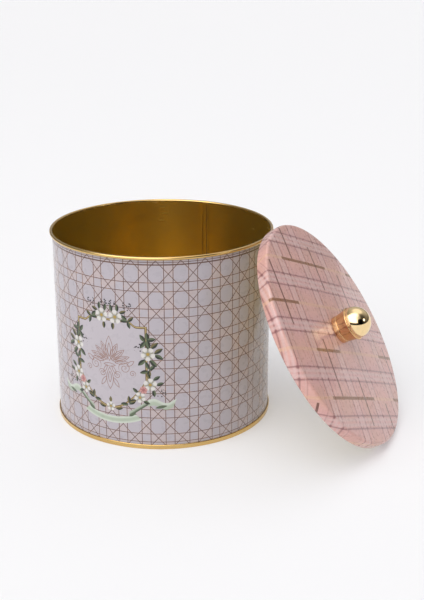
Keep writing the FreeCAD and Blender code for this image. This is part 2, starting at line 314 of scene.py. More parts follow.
bpy.ops.object.mode_set(mode="OBJECT")
smooth(wall)

# %% [markdown]
# ## The base
# The base plate is stamped with a step, turned down inside the wall, and folded round
# the wall's hook. The fold's outside is the gold band that shows below the print.

# %% Spin the base
PANEL_Z = 3.4 * MM
STEP = 0.8 * MM
STEP_BEND = 1.2 * MM
STEP_ANGLE = 35.0
RING_WIDTH = 7.0 * MM
CORNER_BEND = 0.3 * MM
slope = math.radians(STEP_ANGLE)
slope_run = (STEP - 2 * STEP_BEND * (1 - math.cos(slope))) / math.sin(slope)
step_span = 2 * STEP_BEND * math.sin(slope) + slope_run * math.cos(slope)
chuck_r = WALL_R - PITCH
seam_r = WALL_R + 3 * PITCH
fold_top = SEAM_TOP - SHEET / 2 - PITCH

pen = Pen("bottom_plate_sheet", 0.0, PANEL_Z, 0)
pen.run(chuck_r - STEP_BEND - RING_WIDTH - step_span, 6)
pen.bend(STEP_BEND, STEP_ANGLE, 4)
pen.run(slope_run)
pen.bend(STEP_BEND, -STEP_ANGLE, 4)
pen.run(RING_WIDTH)
pen.bend(STEP_BEND, -90, 8)
pen.run_to(SHEET / 2 + CORNER_BEND)
pen.bend(CORNER_BEND, 90, 6)
pen.run(seam_r - chuck_r - 2 * CORNER_BEND)
pen.bend(CORNER_BEND, 90, 6)
pen.run_to(fold_top)
pen.bend(PITCH, 180, 10)
pen.run_to(FOLD_Z + HOOK_CLEARANCE)
base = pen.spin()
thicken(base)
smooth(base)

# %% [markdown]
# ## The lid
# The lid is drawn flat in its own frame: the hole for the screw, the knob's seat, the
# gentle dome, the rounded shoulder, the skirt, and the hem curled inwards. It is
# printed before it is pressed, so the pattern must run on over the shoulder. For that,
# each point remembers how far it is from the middle along the sheet.

# %% Spin the lid
skirt_r = LID_R - SHEET / 2
dome_span = skirt_r - SHOULDER_BEND - PAD_R
dome_fall = 2 * math.atan(DOME_RISE / dome_span)
fall_degrees = math.degrees(dome_fall)
shoulder_reach = SHOULDER_BEND * (1 - math.sin(dome_fall))

pen = Pen("lid_sheet", HOLE_R, PAD_Z - SHEET / 2, 0)
pen.run(PAD_R - HOLE_R, 3)
pen.bend(dome_span / math.sin(dome_fall), -fall_degrees, 14)
pen.run((skirt_r - shoulder_reach - pen.radius) / math.cos(dome_fall))
shoulder_at = (pen.radius, pen.height)
pen.bend(SHOULDER_BEND, fall_degrees - 90, 10)
skirt_at = pen.height
pen.run_to(0.0)
pen.bend(HEM_BEND, -300, 20)
lid = pen.spin()
thicken(lid)

# %% [markdown]
# ## The print maps
# A print map gives each corner of a face its place on the flat printed sheet, in
# millimetres. On the wall that is the distance round from the side seam, and the
# height. On the lid it is the distance from the middle along the sheet.

# %% Lay the print maps
PRINT_MAP = "PrintMap"


def lay_map(piece, place):
    """Fill the print map from a rule that is given a vertex and its face's middle."""
    layer = piece.data.uv_layers.new(name=PRINT_MAP)
    for face in piece.data.polygons:
        middle = face.center
        for corner in face.loop_indices:
            vertex = piece.data.vertices[piece.data.loops[corner].vertex_index]
            layer.data[corner].uv = place(vertex.co, middle)


def turn_from_seam(point):
    return (math.atan2(point.y, point.x) - LOCK_ANGLE) % math.tau


def wall_place(point, middle):
    turn = turn_from_seam(middle)
    offset = (turn_from_seam(point) - turn + math.pi) % math.tau - math.pi
    return ((turn + offset) * WALL_R / MM, point.z / MM)


def sheet_distance(point):
    """Distance from the lid's middle to a point, along the sheet."""
    out = math.hypot(point.x, point.y)
    shoulder_r, shoulder_z = shoulder_at
    if out < shoulder_r or point.z > shoulder_z:
        return out
    bend_z = shoulder_z - SHOULDER_BEND * math.cos(dome_fall)
    if point.z > bend_z:
        across = out - (skirt_r - SHOULDER_BEND)
        return shoulder_r + SHOULDER_BEND * max(math.atan2(across, point.z - bend_z), 0)
    return shoulder_r + SHOULDER_BEND * (math.pi / 2 - dome_fall) + bend_z - point.z


def lid_place(point, middle):
    turn = math.atan2(point.y, point.x)
    far = sheet_distance(point) / MM
    return (far * math.sin(turn), far * math.cos(turn))


lay_map(wall, wall_place)
lay_map(lid, lid_place)
print("print maps laid")

# %% [markdown]
# ## The knob
# The knob is turned brass with bright gold plating. The collar is a ring, a neck and a
# flared cup with a rounded lip. The ball sits in the cup, with its flat underneath.

# %% Sizes of the knob
BALL_R = 11.4 * MM
BALL_FLAT_R = 3.65 * MM
BALL_FLAT_H = 2.2 * MM
BALL_H = BALL_FLAT_H + math.sqrt(BALL_R ** 2 - BALL_FLAT_R ** 2)
BALL_HOLE_R = 2.0 * MM
BALL_HOLE_DEPTH = 9.0 * MM
SEAT_R = BALL_R + 0.05 * MM
COLLAR_R = 10.1 * MM
COLLAR_EDGE = 0.4 * MM
BAND_H = 3.8 * MM
NECK_R = 9.5 * MM
NECK_H = 0.5 * MM
CUP_FOOT_R = 10.3 * MM
CUP_WALL = 0.7 * MM
CUP_STEPS = 12
LIP_STEPS = 8
LIP_DROP = 1.0 * MM
LIP_ROUND = 0.6 * MM
FLOOR_H = 2.15 * MM
lip_top = BALL_H - LIP_DROP
mouth_r = math.sqrt(SEAT_R ** 2 - LIP_DROP ** 2)
lip_r = mouth_r + CUP_WALL
print("ball", round(2 * BALL_R / MM, 1), "mm across, cup", round(2 * lip_r / MM, 1), "mm")


# %% Turn the collar
def pen_to(pen, radius, height):
    """Draw straight to a point given above the lid's seat."""
    along = radius - pen.radius
    up = PAD_Z + height - pen.height
    pen.heading = math.atan2(up, along)
    pen.step(math.hypot(along, up))


def cup_outside(share):
    """Outline of the cup from its foot to its lip: a slack S, like turned metal."""
    height = BAND_H + NECK_H + share * (lip_top - 2 * LIP_ROUND - BAND_H - NECK_H)
    flare = share ** 1.25
    return CUP_FOOT_R + flare * (lip_r - LIP_ROUND - CUP_FOOT_R), height


pen = Pen("knob_collar_turned", HOLE_R, PAD_Z, 0)
pen.run(COLLAR_R - COLLAR_EDGE - HOLE_R, 2)
pen.bend(COLLAR_EDGE, 90, 6)
pen.run(BAND_H - 2 * COLLAR_EDGE)
pen.bend(COLLAR_EDGE, 90, 6)
pen_to(pen, NECK_R, BAND_H)
pen_to(pen, NECK_R, BAND_H + NECK_H)
pen_to(pen, CUP_FOOT_R - 0.15 * MM, BAND_H + NECK_H)
for index in range(CUP_STEPS + 1):
    pen_to(pen, *cup_outside(index / CUP_STEPS))
for index in range(1, LIP_STEPS + 1):
    turn = math.pi * (index / LIP_STEPS - 0.5)
    pen_to(pen, lip_r - LIP_ROUND + LIP_ROUND * math.cos(turn),
           lip_top - LIP_ROUND + LIP_ROUND * math.sin(turn))
pen_to(pen, mouth_r, lip_top)
seat_from = math.asin(mouth_r / SEAT_R)
seat_to = math.acos((BALL_H - FLOOR_H) / SEAT_R)
for index in range(1, CUP_STEPS + 1):
    turn = seat_from + (seat_to - seat_from) * index / CUP_STEPS
    pen_to(pen, SEAT_R * math.sin(turn), BALL_H - SEAT_R * math.cos(turn))
pen_to(pen, HOLE_R, FLOOR_H)
pen_to(pen, HOLE_R, 0)
collar = pen.spin(128)
smooth(collar, 40)

# %% [markdown]
# The ball is a sphere that is cut flat underneath. The flat is inset to a small round
# face, which is pushed up into the ball as the hole for the screw.

# %% Turn the ball
start_clean()
bpy.ops.mesh.primitive_uv_sphere_add(
    segments=128, ring_count=64, radius=BALL_R, location=(0, 0, PAD_Z + BALL_H))
ball = bpy.context.object
ball.name = ball.data.name = "knob_ball_turned"
bpy.ops.object.transform_apply(location=True, rotation=True, scale=True)
bpy.ops.object.mode_set(mode="EDIT")
bpy.ops.mesh.select_all(action="SELECT")
bpy.ops.mesh.bisect(
    plane_co=(0, 0, PAD_Z + BALL_FLAT_H), plane_no=(0, 0, 1), use_fill=True, clear_inner=True)
select_where(ball, "FACE", lambda face: face.normal.z < -0.999 and len(face.verts) > 20)
bpy.ops.mesh.inset(thickness=BALL_FLAT_R - BALL_HOLE_R)
bpy.ops.mesh.extrude_region_move(
    TRANSFORM_OT_translate={"value": (0, 0, BALL_HOLE_DEPTH)})
bpy.ops.object.mode_set(mode="OBJECT")
smooth(ball, 40)

# %% [markdown]
# The lid, the collar and the ball were drawn flat in the lid's own frame. Now they are
# moved and leaned into place, and the move is applied, so that it is in their meshes.

# %% Lean the lid and its knob
for piece in (lid, collar, ball):
    only(piece)
    piece.matrix_world = lid_frame
    bpy.ops.object.transform_apply(location=True, rotation=True, scale=True)
smooth(lid)
lid_box = [max(v.co[axis] for v in lid.data.vertices) for axis in range(3)]
print("lid reaches", [round(v / MM, 2) for v in lid_box])
print("packed lid reaches", [round(v / MM, 2) for v in lid_high])


# %% [markdown]
# ## Arithmetic on a surface
# The prints are drawn by shader nodes. A field is a number that changes over the
# surface, and its arithmetic adds Math nodes. With it a line is a small distance, and a
# leaf is where one curve is larger than another, as on paper.

# %% Fields
class Field:
    """A node's output that can be added, multiplied and compared like a number."""

    def __init__(self, tree, socket):
        self.tree = tree
        self.socket = socket

    def math(self, operation, *others, swap=False):
        node = self.tree.nodes.new("ShaderNodeMath")
        node.operation = operation
        values = [self, *others]
        if swap:
            values.reverse()
        for index, value in enumerate(values):
            if isinstance(value, Field):
                self.tree.links.new(value.socket, node.inputs[index])
            else:
                node.inputs[index].default_value = value
        return Field(self.tree, node.outputs[0])

    def __add__(self, other):
        return self.math("ADD", other)

    def __sub__(self, other):
        return self.math("SUBTRACT", other)

    def __rsub__(self, other):
        return self.math("SUBTRACT", other, swap=True)

    def __mul__(self, other):
        return self.math("MULTIPLY", other)

    def __truediv__(self, other):
        return self.math("DIVIDE", other)

    def __abs__(self):
        return self.math("ABSOLUTE")

    def power(self, other):
        return self.math("POWER", other)

    def low(self, other):
        return self.math("MINIMUM", other)

    def high(self, other):
        return self.math("MAXIMUM", other)

    def fold(self, half_period):
        """Distance to the nearest multiple of the period."""
        return self.math("PINGPONG", half_period)

    def over(self, start, end):
        """A smooth step from 0 at start to 1 at end."""
        node = self.tree.nodes.new("ShaderNodeMapRange")
        node.interpolation_type = "SMOOTHSTEP"
        self.tree.links.new(self.socket, node.inputs["Value"])
        node.inputs["From Min"].default_value = start
        node.inputs["From Max"].default_value = end
        return Field(self.tree, node.outputs["Result"])

    def within(self, reach, soft=0.06):
        """1 where the field is under a reach, with a soft edge."""
        return 1 - self.over(reach - soft, reach + soft)


# %% Paint and coordinates
def paint(tree, under, colour, mask):
    """Lay a colour over another where a mask is 1."""
    node = tree.nodes.new("ShaderNodeMix")
    node.data_type = "RGBA"
    tree.links.new(mask.socket, node.inputs["Factor"])
    for name, value in (("A", under), ("B", colour)):
        socket = [s for s in node.inputs if s.name == name and s.type == "RGBA"][0]
        if isinstance(value, tuple):
            socket.default_value = (*value, 1)
        else:
            tree.links.new(value, socket)
    return [s for s in node.outputs if s.type == "RGBA"][0]


def separate(tree, vector):
    node = tree.nodes.new("ShaderNodeSeparateXYZ")
    tree.links.new(vector, node.inputs[0])
    return Field(tree, node.outputs[0]), Field(tree, node.outputs[1])


def combine(tree, across, up):
    node = tree.nodes.new("ShaderNodeCombineXYZ")
    tree.links.new(across.socket, node.inputs[0])
    tree.links.new(up.socket, node.inputs[1])
    return node.outputs[0]


def placed(tree, vector, centre, degrees, scale):
    """A shape's own coordinates: moved, turned and scaled to it."""
    node = tree.nodes.new("ShaderNodeMapping")
    node.vector_type = "TEXTURE"
    node.inputs["Location"].default_value = (*centre, 0)
    node.inputs["Rotation"].default_value = (0, 0, math.radians(degrees))
    node.inputs["Scale"].default_value = (*scale, 1)
    tree.links.new(vector, node.inputs["Vector"])
    return node.outputs[0]


def noise(tree, vector, scale, detail=2.0, roughness=0.5):
    node = tree.nodes.new("ShaderNodeTexNoise")
    node.inputs["Scale"].default_value = scale
    node.inputs["Detail"].default_value = detail
    node.inputs["Roughness"].default_value = roughness
    tree.links.new(vector, node.inputs["Vector"])
    return Field(tree, node.outputs["Fac"])


# %% [markdown]
# ## Materials
# Each material is one Principled shader. What is the same all over is set on the
# shader's own sockets. Colour, roughness and bump come from nodes, so that no surface
# is perfectly even.

# %% Helpers for materials
def new_material(name, **sockets):
    """A Principled material whose plain values are set on the shader's own sockets."""
    material = bpy.data.materials.new(name)
    material.use_nodes = True
    tree = material.node_tree
    shader = tree.nodes["Principled BSDF"]
    for socket, value in sockets.items():
        shader.inputs[socket.replace("_", " ")].default_value = value
    return material, tree, shader


def surface(tree, shader, colour, roughness, height, depth):
    """Plug a colour, a roughness and a bump of a depth in metres into the shader."""
    tree.links.new(colour, shader.inputs["Base Color"])
    tree.links.new(roughness.socket, shader.inputs["Roughness"])
    bump = tree.nodes.new("ShaderNodeBump")
    bump.inputs["Strength"].default_value = 1.0
    bump.inputs["Distance"].default_value = depth
    tree.links.new(height.socket, bump.inputs["Height"])
    tree.links.new(bump.outputs[0], shader.inputs["Normal"])
    print("material finished with", len(tree.nodes), "nodes")


def ink(red, green, blue):
    """A printed colour from its screen values of 0 to 255."""
    return tuple(
        v / 255 / 12.92 if v / 255 <= 0.04045 else ((v / 255 + 0.055) / 1.055) ** 2.4
        for v in (red, green, blue))


def object_point(tree):
    return tree.nodes.new("ShaderNodeTexCoord").outputs["Object"]


def print_point(tree):
    node = tree.nodes.new("ShaderNodeUVMap")
    node.uv_map = PRINT_MAP
    return node.outputs[0]


# %% [markdown]
# ## Gold lacquer
# Inside, on the rim and round the base the steel is lacquered gold. It is bright but
# not a mirror: the rolled sheet has a fine grain, and the lacquer varies a little in
# depth. The grain is a noise that is stretched round the tin.

# %% Gold lacquer
GRAIN_STRETCH = (40, 40, 500)


def gold_lacquer(name, colour, deep, rough):
    material, tree, shader = new_material(
        name, Metallic=1.0, Coat_Weight=0.25, Coat_Roughness=0.08)
    where = object_point(tree)
    patches = noise(tree, where, 14.0, 2.0).over(0.35, 0.65)
    grain = tree.nodes.new("ShaderNodeMapping")
    grain.inputs["Scale"].default_value = GRAIN_STRETCH
    tree.links.new(where, grain.inputs["Vector"])
    lines = noise(tree, grain.outputs[0], 1.0, 3.0, 0.6)
    tone = paint(tree, deep, colour, patches * 0.6 + lines * 0.4)
    surface(tree, shader, tone, lines * 0.05 + patches * 0.03 + rough, lines, 0.0000005)
    return material


inner_gold = gold_lacquer("gold_lacquer_inside", (0.89, 0.71, 0.26), (0.85, 0.66, 0.22), 0.215)
rim_gold = gold_lacquer("gold_lacquer_rim", (0.72, 0.50, 0.20), (0.62, 0.40, 0.14), 0.16)

# %% [markdown]
# ## Polished gold, zinc, and the cut edge with painted shade
# The knob is plated and polished, so nearly all of its look is what it mirrors. A very
# slight waviness keeps the mirror from looking computed. The screw and washer are
# zinc-plated steel, duller and greyer, with tumbling marks. In the grooves of the side
# seam the sheet's cut edge shows, which has no lacquer and is tarnished brown. Its near
# black brown is also painted shade, for the shadow down in the seam's gaps.

# %% Polished gold, zinc, and the cut edge with painted shade
def polished_gold(name, colour, rough):
    material, tree, shader = new_material(name, Metallic=1.0)
    where = object_point(tree)
    wave = noise(tree, where, 140.0, 2.0)
    haze = noise(tree, where, 420.0, 3.0)
    tone = paint(tree, colour, tuple(c * 0.93 for c in colour), haze.over(0.45, 0.75))
    surface(tree, shader, tone, haze * 0.05 + rough, wave, 0.00001)
    return material


def zinc_plate():
    material, tree, shader = new_material("zinc_plated_steel", Metallic=1.0)
    where = object_point(tree)
    blotch = noise(tree, where, 700.0, 3.0)
    marks = noise(tree, where, 4200.0, 2.0)
    tone = paint(tree, (0.52, 0.54, 0.56), (0.70, 0.71, 0.70), blotch.over(0.35, 0.7))
    surface(tree, shader, tone, blotch * 0.2 + 0.22, marks, 0.00001)
    return material


def raw_edge_and_gap_shade_material():
    material, tree, shader = new_material("raw_edge_with_painted_gap_shade", Metallic=0.6)
    stain = noise(tree, object_point(tree), 900.0, 3.0)
    # Painted shade: a near-black brown stands in for the shadow in the seam's gaps, over the bare
    # edge's tarnish.
    tone = paint(tree, (0.05, 0.03, 0.012), (0.14, 0.08, 0.03), stain.over(0.4, 0.7))
    surface(tree, shader, tone, stain * 0.3 + 0.4, stain, 0.00001)
    return material


raw_edge_and_gap_shade = raw_edge_and_gap_shade_material()
ball_gold = polished_gold("polished_gold_ball", (0.93, 0.70, 0.38), 0.035)
collar_gold = polished_gold("polished_gold_collar", (0.76, 0.49, 0.25), 0.07)
zinc = zinc_plate()

# %% [markdown]
# ## The lid's print
# The lid is printed with a dusty pink check, which repeats every 34 mm both ways and is
# turned by 26 degrees. Gold lines run along the rows, with darker dashes on them, and
# brown dashes run along the columns, staggered over three checks. Halfway between the
# lines, both ways, lie white bands with mauve borders. Threads both ways make the metal
# look like cloth. They are one noise, stretched along the rows and then across them.

# %% Tartan
CHECK = 34.15                            # millimetres on the sheet, as all sizes here
TARTAN_TURN = 25.6
ROW_AT = -16.95                          # first gold row below the middle
COLUMN_AT = 1.9
THREE = 3 * CHECK
GOLD_DASH_STARTS = (17.6, -47.0, -48.0)  # on the first, second and third row
GOLD_DASH_LENGTHS = (37.0, 35.0, 66.0)
BROWN_DASH_STARTS = (-67.1, -48.2, 8.4)  # on the first, second and third column
BROWN_DASH_LENGTHS = (35.8, 48.2, 41.7)
MAUVE_AT = 4.5                           # from the middle of a band to its border
WHITE_AT = 1.8
CROSS_AT = 4.3
THIN_LINE_AT = 8.6                       # from a brown column
SHADE_LINE_AT = 7.4
THREAD_STRETCHES = ((0.12, 1.0, 1), (1.0, 0.12, 1))
PINK = ink(216, 166, 155)
PINK_WEFT = ink(211, 163, 158)
PINK_CLOUD = ink(202, 158, 142)
MAUVE = ink(134, 84, 86)
WHITE = ink(214, 184, 180)
MAUVE_CROSSED = ink(112, 72, 74)
THIN_WHITE = ink(208, 172, 166)
THIN_MAUVE = ink(150, 104, 102)
GOLD_ROW = ink(220, 178, 144)
GOLD_DASH = ink(132, 86, 50)
BROWN_DASH = ink(104, 60, 46)
THREAD_DARK = ink(146, 104, 100)
THREAD_PALE = ink(218, 182, 176)


def dash(along, line, starts, lengths):
    """1 on the dashes of a family of lines, whose starts repeat every three lines."""
    order = ((line + 0.5).math("FLOOR") + 300).math("MODULO", 3.0)
    first = order.within(0.5, 0.01)
    last = order.over(1.49, 1.51)
    start = first * (starts[0] - starts[1]) + last * (starts[2] - starts[1]) + starts[1]
    length = first * (lengths[0] - lengths[1]) + last * (lengths[2] - lengths[1]) + lengths[1]
    travel = (along - start + 10 * THREE).math("MODULO", THREE)
    return (travel - length).within(0.0, 0.5) * travel.over(0.0, 0.8)


# %% Print the lid
def tartan_print():
    material, tree, shader = new_material(
        "printed_tartan", Coat_Weight=0.5, Coat_Roughness=0.05, IOR=1.4)
    sheet = print_point(tree)
    turned = placed(tree, sheet, (0, 0), TARTAN_TURN, (1, 1))
    along, down = separate(tree, turned)
    row = (down - ROW_AT) / CHECK
    column = (along - COLUMN_AT) / CHECK
    to_row = (down - ROW_AT).fold(CHECK / 2)
    to_column = (along - COLUMN_AT).fold(CHECK / 2)
    from_weft = CHECK / 2 - to_row
    from_warp = CHECK / 2 - to_column
    cloud = noise(tree, sheet, 0.045, 3.0)
    tone = paint(tree, PINK, PINK_WEFT, from_weft.within(9.0, 5.0))
    tone = paint(tree, tone, PINK_CLOUD, cloud.over(0.42, 0.66) * 0.6)
    for far, strength in ((from_warp, 0.70), (from_weft, 0.72)):
        mauve = abs(far - MAUVE_AT).within(0.6, 0.5)
        white = abs(far - WHITE_AT).within(0.95, 0.7)
        tone = paint(tree, tone, MAUVE, mauve * strength)
        tone = paint(tree, tone, WHITE, white * strength * 0.9)
    crossed_warp = abs(from_warp - CROSS_AT).within(1.0, 0.4)
    crossed = crossed_warp * abs(from_weft - CROSS_AT).within(1.0, 0.4)
    tone = paint(tree, tone, MAUVE_CROSSED, crossed * 0.5)
    thin = abs(to_column - THIN_LINE_AT).within(0.4, 0.3)
    tone = paint(tree, tone, THIN_WHITE, thin * 0.45)
    shade = abs(to_column - SHADE_LINE_AT).within(0.35, 0.3)
    tone = paint(tree, tone, THIN_MAUVE, shade * 0.4)
    gold = to_row.within(1.15, 0.35)
    tone = paint(tree, tone, GOLD_ROW, gold * 0.5)
    gold_dash = gold * dash(along, row, GOLD_DASH_STARTS, GOLD_DASH_LENGTHS)
    tone = paint(tree, tone, GOLD_DASH, gold_dash * 0.95)
    brown = to_column.within(0.85, 0.15)
    brown_dash = brown * dash(down, column, BROWN_DASH_STARTS, BROWN_DASH_LENGTHS)
    tone = paint(tree, tone, BROWN_DASH, brown_dash * 0.95)
    for stretch in THREAD_STRETCHES:
        threads = tree.nodes.new("ShaderNodeMapping")
        threads.inputs["Scale"].default_value = stretch
        tree.links.new(turned, threads.inputs["Vector"])
        thread = noise(tree, threads.outputs[0], 1.0, 2.0)
        tone = paint(tree, tone, THREAD_DARK, thread.over(0.5, 0.8) * 0.22)
        tone = paint(tree, tone, THREAD_PALE, (1 - thread).over(0.5, 0.8) * 0.2)
    wear = noise(tree, sheet, 0.3, 3.0)
    surface(tree, shader, tone, wear * 0.08 + 0.24, wear, 0.000002)
    return material


tartan = tartan_print()

# %% [markdown]
# ## The wall's print
# The wall is printed with cane webbing: pairs of upright and level lines, and single
# slanting lines that cut the corners of the cells, so that each cell becomes an
# octagon. All lines are distances in one folded cell, so the whole net is a few nodes.

# %% Cane webbing
CELL_WIDTH = 16.705
CELL_HEIGHT = 18.42
CELL_AT = 296.0                          # one octagon's middle, measured round the sheet
ROW_OF_CELLS_AT = 17.5
HALF_OCTAGON = (5.25, 6.12)
LINE = 0.25                              # half of the printed line
CELL_COLOUR = ink(178, 171, 178)
STRAND_COLOUR = ink(182, 171, 174)
STRAND_WARM = ink(186, 171, 171)
LINE_COLOUR = ink(94, 66, 56)
# painted glint: a lighter gold-brown where the lines seem to catch light
LINE_PAINTED_GLINT = ink(138, 100, 72)
BORDER_LINES = (134.6, 136.0)            # heights of the two lines under the rim


def cane(tree, sheet):
    """The net's colour, with a painted glint on its lines."""
    across, up = separate(tree, sheet)
    half_w, half_h = CELL_WIDTH / 2, CELL_HEIGHT / 2
    x = (across - CELL_AT + 40 * CELL_WIDTH).fold(half_w)
    y = (up - ROW_OF_CELLS_AT + 4 * CELL_HEIGHT).fold(half_h)
    slant = (x / half_w + y / half_h - 1) * (half_w * half_h / math.hypot(half_w, half_h))
    to_upright = x - HALF_OCTAGON[0]
    to_level = y - HALF_OCTAGON[1]
    inside = to_upright.high(to_level).high(slant)
    crossing = to_upright.low(to_level)
    nearest = abs(to_upright).low(abs(to_level)).low(abs(slant))
    plain = inside.within(-0.55, 0.25).high(crossing.over(0.2, 0.9))
    tint = noise(tree, sheet, 0.06, 2.0)
    tone = paint(tree, STRAND_COLOUR, STRAND_WARM, tint.over(0.4, 0.65))
    tone = paint(tree, tone, CELL_COLOUR, plain)
    line = nearest.within(LINE, 0.06)
    # Painted glint: patches of noise turn the brown lines lighter, as if they caught the light.
    painted_glint = noise(tree, sheet, 0.35, 2.0)
    brown = paint(tree, LINE_COLOUR, LINE_PAINTED_GLINT, painted_glint.over(0.5, 0.72))
    tone = paint(tree, tone, brown, line * 0.95)
    for height in BORDER_LINES:
        border = abs(up - height).within(0.2, 0.06)
        tone = paint(tree, tone, LINE_COLOUR, border)
    return tone


# %% Print the wall
def finish_print(tree, shader, sheet, tone):
    wear = noise(tree, sheet, 0.2, 3.0)
    surface(tree, shader, tone, wear * 0.08 + 0.24, wear, 0.000002)


def printed(name):
    return new_material(name, Coat_Weight=0.4, Coat_Roughness=0.08, IOR=1.4)


def cane_print():
    material, tree, shader = printed("printed_cane")
    sheet = print_point(tree)
    finish_print(tree, shader, sheet, cane(tree, sheet))
    return material


cane_material = cane_print()

# %% [markdown]
# ## The picture on the wall
# On the front the net is interrupted by a plain plaque in a gold frame, with a line
# ornament in the middle, a wreath of white flowers round it and a ribbon below. The
# picture is the same on its left and right, so all of it is drawn once, on the right of
# its middle line, with the distance from that line. Shapes are painted one over another.

# %% Shapes for the picture
class Picture:
    """A painting in millimetres from its own middle, with one colour laid over another."""

    def __init__(self, tree, point, tone):
        self.tree = tree
        self.point = point
        self.tone = tone

    def lay(self, colour, mask):
        self.tone = paint(self.tree, self.tone, colour, mask)

    def local(self, centre, degrees, scale):
        return separate(self.tree, placed(self.tree, self.point, centre, degrees, scale))

    def leaf(self, centre, degrees, length, width, dark, light):
        """A pointed leaf, with one half darker than the other."""
        along, aside = self.local(centre, degrees, (length / 2, width / 2))
        body = 1 - along * along - abs(aside)
        colour = paint(self.tree, dark, light, aside.over(-0.15, 0.25))
        self.lay(colour, body.over(0.0, 0.12))

    def outline(self, centre, degrees, length, width, colour):
        """The drawn edge of a pointed leaf."""
        along, aside = self.local(centre, degrees, (length / 2, width / 2))
        edge = abs(1 - along * along - abs(aside)) * (width / 2)
        self.lay(colour, edge.within(0.22, 0.1) * abs(along).within(1.08, 0.03))

    def scroll(self, centre, radius, pitch, degrees, hand, colour):
        """A spiral line that ends at a radius and winds in by one pitch a turn."""
        across, up = self.local(centre, degrees, (hand, 1))
        far = (across * across + up * up).power(0.5)
        turns = up.math("ARCTAN2", across) / math.tau
        line = (far / pitch - turns + 8).fold(0.5) * pitch
        self.lay(colour, line.within(0.2, 0.1) * far.within(radius, 0.1))

    def flower(self, centre, radius, petals, turn, edge, body, heart):
        """Round petals, shaded towards the gaps, with a heart in another colour."""
        across, up = self.local(centre, turn, (radius, radius))
        far = (across * across + up * up).power(0.5)
        angle = up.math("ARCTAN2", across)
        lobe = abs((angle * (petals / 2)).math("COSINE"))
        reach = lobe.power(0.5) * 0.34 + 0.66
        colour = paint(self.tree, edge, body, lobe.over(0.1, 0.75) * far.over(0.2, 0.6))
        self.lay(colour, (far / reach).within(1.0, 0.05))
        self.lay(heart, far.within(0.22, 0.06))


# %% [markdown]
# The wreath is made of sprays. A spray is a flower with leaves that point away from its
# middle, as a florist would place them, so a spray needs its middle, the size of its
# flower, and the length and directions of its leaves. A twig is a spray without a
# flower, and a sprig is a small patch of berries.

# %% Inks and sprays
LEAF_DARK = ink(40, 46, 34)
LEAF_LIGHT = ink(86, 98, 70)
OLIVE = ink(106, 98, 58)
PETAL = ink(212, 208, 204)
PETAL_EDGE = ink(142, 140, 124)
HEART = ink(168, 140, 66)
ROSE = ink(196, 146, 142)
ROSE_EDGE = ink(160, 100, 100)
PLAQUE = ink(184, 177, 183)
GOLD_DARK = ink(112, 88, 44)
GOLD_LIGHT = ink(196, 176, 122)
ORNAMENT = ink(142, 108, 96)
MINT = ink(168, 179, 160)
MINT_LIGHT = ink(196, 203, 190)
MINT_DARK = ink(86, 98, 76)
BERRY = ink(62, 58, 58)
SPRAYS = (
    ((5.2, 34.0), 5.0, 6.0, (75, 35, -18, 115, -105)),
    ((28.0, 9.0), 5.0, 7.5, (18, -15, 88, 55, -62, -125)),
    ((29.2, -13.5), 4.7, 6.2, (5, 48, 100, -68)),
    ((21.9, -23.3), 4.0, 5.6, (-38, -150, 122)),
)
TWIGS = (
    ((27.2, 18.0), 0.0, 7.0, (82, 25, -75, 140, -140)),
    ((28.0, -2.5), 0.0, 6.5, (100, -80, 30, -150)),
    ((13.6, 32.0), 0.0, 6.0, (25, -60, 130)),
    ((13.5, -28.5), 0.0, 6.0, (15, -165, 80)),
)
SPRIGS = ((2.8, 43.0), (21.5, 13.5), (36.8, -20.0), (14.0, 42.5))
print("wreath of", len(SPRAYS), "sprays and", len(TWIGS), "twigs on each side")


# %% Plaque and ornament
PETALS = (                               # middle, direction, length and width
    ((0, 10.5), 90, 18, 5.4),
    ((0, 9.5), 90, 10, 2.2),
    ((15.6, 1.2), 38, 6.5, 2.6),
    ((9.0, 1.4), 8, 9.5, 2.6),
    ((3.4, -4.8), 118, 6.5, 1.8),
    ((0, -11.5), 90, 16, 5.2),
    ((0, -10.5), 90, 8, 2.2),
    ((0, -1.4), 0, 9, 2.4),
    ((4.8, -14.0), 122, 8, 2.4),
)
FAN = ((8.6, 66), (8.2, 42), (8.8, 19))  # reach and direction of the fanned petals
SCROLLS = (                              # middle, radius, pitch, start and hand
    ((11.4, -2.6), 4.6, 2.3, 200, 1),
    ((17.0, -6.2), 2.4, 1.5, 20, -1),
    ((6.0, -8.4), 3.0, 1.7, 120, -1),
)


def paint_plaque(picture, x, y):
    """A plain field with a scalloped bottom, in a gold frame with a light edge."""
    top = 31.6 - x.over(14, 20.5) * 3.6
    bottom = x * x * 0.0315 - 33.0
    plaque = (x - 26.8).high(y - top).high(bottom - y)
    picture.lay(PLAQUE, plaque.within(0.0, 0.2))
    picture.lay(GOLD_DARK, abs(plaque).within(0.85, 0.15))
    picture.lay(GOLD_LIGHT, abs(plaque - 0.15).within(0.22, 0.12))


def paint_ornament(picture):
    """Petals and scrolls, drawn by their outlines."""
    for petal in PETALS:
        picture.outline(*petal, ORNAMENT)
    for reach, degrees in FAN:
        turn = math.radians(degrees)
        petal = (reach * math.cos(turn) * 1.05, reach * math.sin(turn) + 1.0)
        picture.outline(petal, degrees, 13, 3.8, ORNAMENT)
        picture.outline(petal, degrees, 9, 1.3, ORNAMENT)
    for scroll in SCROLLS:
        picture.scroll(*scroll, ORNAMENT)


